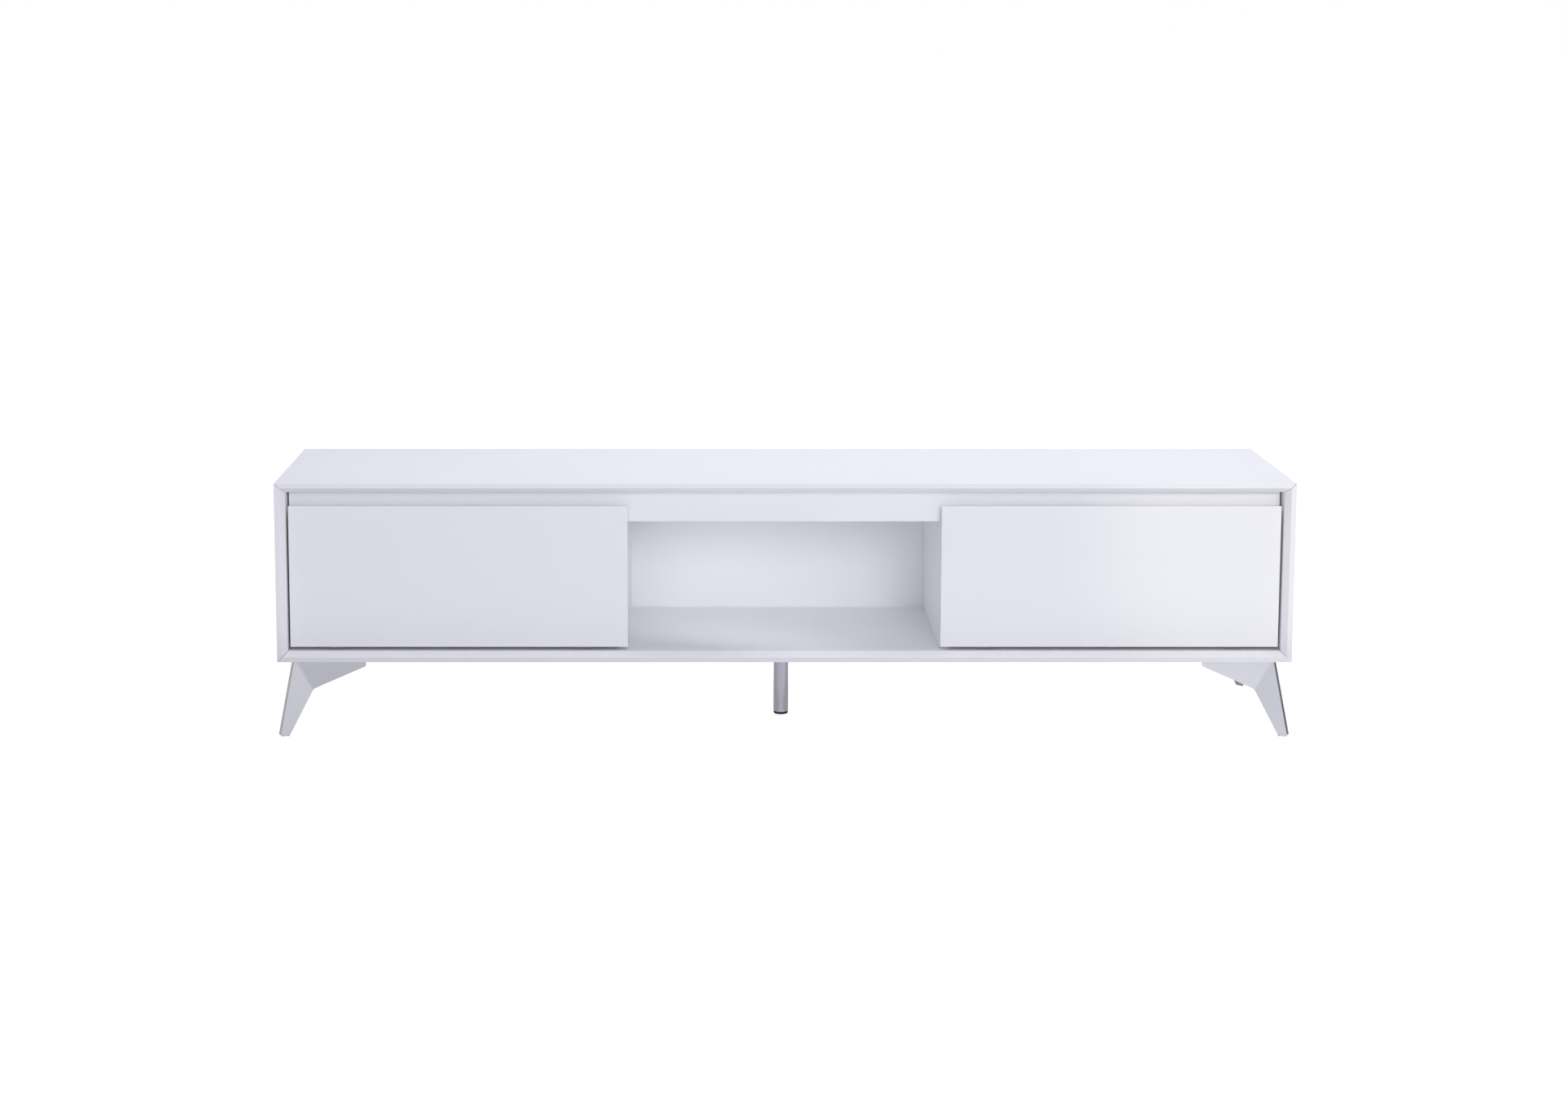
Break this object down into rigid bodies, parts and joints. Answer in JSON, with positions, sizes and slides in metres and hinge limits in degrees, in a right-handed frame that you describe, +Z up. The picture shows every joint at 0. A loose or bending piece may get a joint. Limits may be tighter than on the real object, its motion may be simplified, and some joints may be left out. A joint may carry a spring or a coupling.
{
  "type": "tv stand with doors",
  "caption": "Long, low white tv stand: a mitred box with an open middle compartment between drop-down flap doors, on folded steel corner legs and a round centre leg.",
  "frame": {"origin": "on the floor, under the middle of the body", "axes": "+X towards the right end as seen from the front, +Y towards the back panel, +Z up"},
  "size_m": [1.8, 0.4, 0.458],
  "materials": {
    "white_lacquer": "satin white lacquer on board",
    "white_back_board": "matt white coated thin board",
    "leg_steel": "satin silver powder coat",
    "tube_steel": "satin grey coat",
    "nickel_hardware": "nickel-plated steel",
    "black_plastic": "moulded, matt",
    "white_plastic": "moulded, satin",
    "grey_plastic": "moulded, satin",
    "grey_rubber": "soft, translucent grey"
  },
  "bodies": {
    "cabinet": {"back_panel": "white_back_board", "bottom_panel": "white_lacquer", "centre_leg_flange": "nickel_hardware", "centre_leg_tube": "tube_steel", "front_left_glide": "grey_plastic", "front_left_leg": "leg_steel", "front_left_leg_screw_1": "nickel_hardware", "front_left_leg_screw_2": "nickel_hardware", "front_rail": "white_lacquer", "front_right_glide": "grey_plastic", "front_right_leg": "leg_steel", "front_right_leg_screw_1": "nickel_hardware", "front_right_leg_screw_2": "nickel_hardware", "left_bumper_inner": "grey_rubber", "left_bumper_outer": "grey_rubber", "left_divider": "white_lacquer", "left_hinge_inner_arm": "nickel_hardware", "left_hinge_outer_arm": "nickel_hardware", "left_magnetic_catch": "white_plastic", "left_side_panel": "white_lacquer", "left_stay_wall_bracket": "nickel_hardware", "rear_left_glide": "grey_plastic", "rear_left_leg": "leg_steel", "rear_left_leg_screw_1": "nickel_hardware", "rear_left_leg_screw_2": "nickel_hardware", "rear_right_glide": "grey_plastic", "rear_right_leg": "leg_steel", "rear_right_leg_screw_1": "nickel_hardware", "rear_right_leg_screw_2": "nickel_hardware", "right_bumper_inner": "grey_rubber", "right_bumper_outer": "grey_rubber", "right_divider": "white_lacquer", "right_hinge_inner_arm": "nickel_hardware", "right_hinge_outer_arm": "nickel_hardware", "right_magnetic_catch": "white_plastic", "right_side_panel": "white_lacquer", "right_stay_wall_bracket": "nickel_hardware", "top_panel": "white_lacquer"},
    "left_door": {"left_door_panel": "white_lacquer", "left_hinge_inner_cup": "nickel_hardware", "left_hinge_inner_pin": "nickel_hardware", "left_hinge_outer_cup": "nickel_hardware", "left_hinge_outer_pin": "nickel_hardware", "left_stay_door_bracket": "nickel_hardware", "left_strike_plate": "nickel_hardware"},
    "left_stay_rod": {"left_stay_rod": "nickel_hardware"},
    "left_stay_brake": {"left_stay_brake": "black_plastic"},
    "right_door": {"right_door_panel": "white_lacquer", "right_hinge_inner_cup": "nickel_hardware", "right_hinge_inner_pin": "nickel_hardware", "right_hinge_outer_cup": "nickel_hardware", "right_hinge_outer_pin": "nickel_hardware", "right_stay_door_bracket": "nickel_hardware", "right_strike_plate": "nickel_hardware"},
    "right_stay_rod": {"right_stay_rod": "nickel_hardware"},
    "right_stay_brake": {"right_stay_brake": "black_plastic"},
    "centre_foot": {"centre_leg_foot": "black_plastic"}
  },
  "joints": [
    {"name": "left_door_flap", "type": "hinge", "parent": "cabinet", "child": "left_door", "pos_m": [-0.578, -0.173, 0.167], "axis": [1, 0, 0], "range_deg": [0, 90]},
    {"name": "left_stay_rod_turn", "type": "hinge", "parent": "left_door", "child": "left_stay_rod", "pos_m": [-0.867, -0.157, 0.317], "axis": [1, 0, 0], "range_deg": [-46, 1]},
    {"name": "left_stay_brake_turn", "type": "hinge", "parent": "cabinet", "child": "left_stay_brake", "pos_m": [-0.867, -0.07604, 0.28256], "axis": [1, 0, 0], "range_deg": [-1, 46]},
    {"name": "right_door_flap", "type": "hinge", "parent": "cabinet", "child": "right_door", "pos_m": [0.578, -0.173, 0.167], "axis": [1, 0, 0], "range_deg": [0, 90]},
    {"name": "right_stay_rod_turn", "type": "hinge", "parent": "right_door", "child": "right_stay_rod", "pos_m": [0.867, -0.157, 0.317], "axis": [1, 0, 0], "range_deg": [-46, 1]},
    {"name": "right_stay_brake_turn", "type": "hinge", "parent": "cabinet", "child": "right_stay_brake", "pos_m": [0.867, -0.07604, 0.28256], "axis": [1, 0, 0], "range_deg": [-1, 46]},
    {"name": "centre_foot_slide", "type": "slide", "parent": "cabinet", "child": "centre_foot", "axis": [0, 0, -1], "range_m": [0, 0.012]}
  ],
  "couplings": [
    {"joint": "left_stay_rod_turn", "follows": "left_door_flap", "ratio": -0.5},
    {"joint": "left_stay_brake_turn", "follows": "left_door_flap", "ratio": 0.5},
    {"joint": "right_stay_rod_turn", "follows": "right_door_flap", "ratio": -0.5},
    {"joint": "right_stay_brake_turn", "follows": "right_door_flap", "ratio": 0.5}
  ]
}
